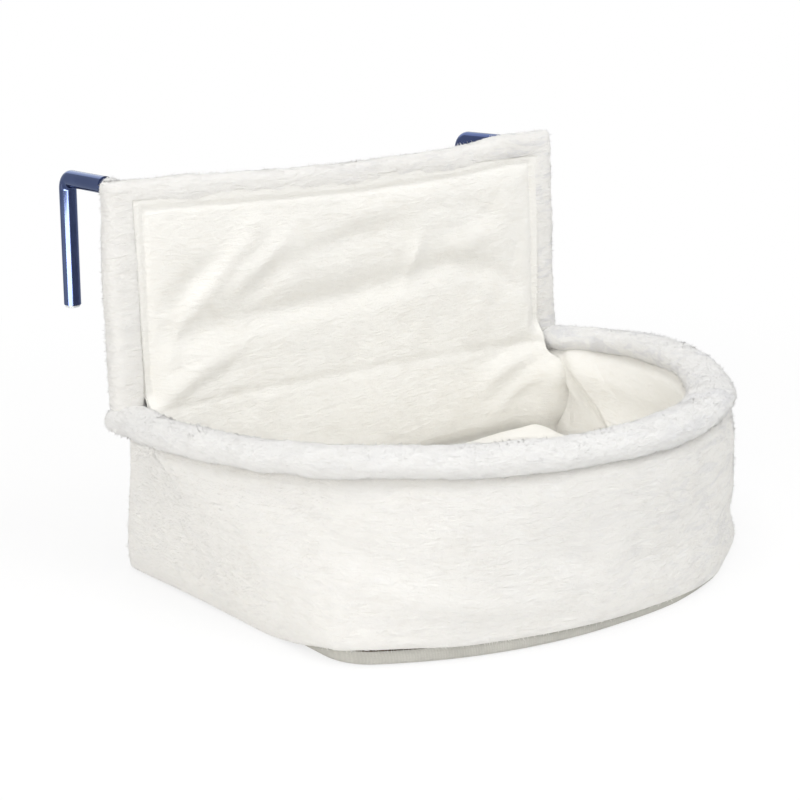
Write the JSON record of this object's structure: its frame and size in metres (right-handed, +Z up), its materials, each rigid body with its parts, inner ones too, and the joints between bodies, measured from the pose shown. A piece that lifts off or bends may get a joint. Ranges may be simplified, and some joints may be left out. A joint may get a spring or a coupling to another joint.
{
  "type": "radiator cat bed",
  "caption": "Plush hammock-style pet bed with a D-shaped tub, a backrest and telescoping steel hooks that hang it over a radiator.",
  "frame": {"origin": "on the flat underside of the base, midway between the two uprights' axes", "axes": "+X to the bed's right seen from the front, +Y back towards the radiator, +Z up"},
  "size_m": [0.445, 0.4194, 0.2818],
  "materials": {
    "hook_steel": "bright blue-tinted plating",
    "frame_steel": "bright zinc",
    "fastener_steel": "bright zinc",
    "plug_plastic": "pale grey, slightly milky",
    "cap_plastic": "black, fine grain",
    "plush": "short-pile plush",
    "cream_plush": "short-pile plush, warm",
    "wadding": "polyester wadding",
    "rear_cloth": "plain woven lining",
    "base_cloth": "plain woven, grey-beige",
    "board": "hardboard"
  },
  "bodies": {
    "frame": {"left_upright": "frame_steel", "right_upright": "frame_steel", "left_hoop": "frame_steel", "right_hoop": "frame_steel", "hoop_ferrule": "frame_steel", "crossbar": "frame_steel", "crossbar_inserts": "fastener_steel", "frame_screws": "fastener_steel", "hoop_saddles": "cap_plastic", "frame_caps": "cap_plastic", "rim_sleeve": "plush", "crossbar_sleeve": "cream_plush", "left_side_sleeve": "plush", "right_side_sleeve": "plush", "top_hem": "plush", "back_front_cloth": "cream_plush", "back_wadding": "wadding", "back_rear_cloth": "rear_cloth", "tub_outer_wall": "plush", "tub_wall_wadding": "wadding", "tub_lining": "cream_plush", "floor_pad": "cream_plush", "base_board": "board", "base_cover": "base_cloth"},
    "left_hook": {"left_hook_tube": "hook_steel", "left_hook_plug": "plug_plastic"},
    "right_hook": {"right_hook_tube": "hook_steel", "right_hook_plug": "plug_plastic"}
  },
  "joints": [
    {"name": "left_hook_slide", "type": "slide", "parent": "frame", "child": "left_hook", "axis": [0, 1, 0], "range_m": [0, 0.04]},
    {"name": "right_hook_slide", "type": "slide", "parent": "frame", "child": "right_hook", "axis": [0, 1, 0], "range_m": [0, 0.04]}
  ]
}
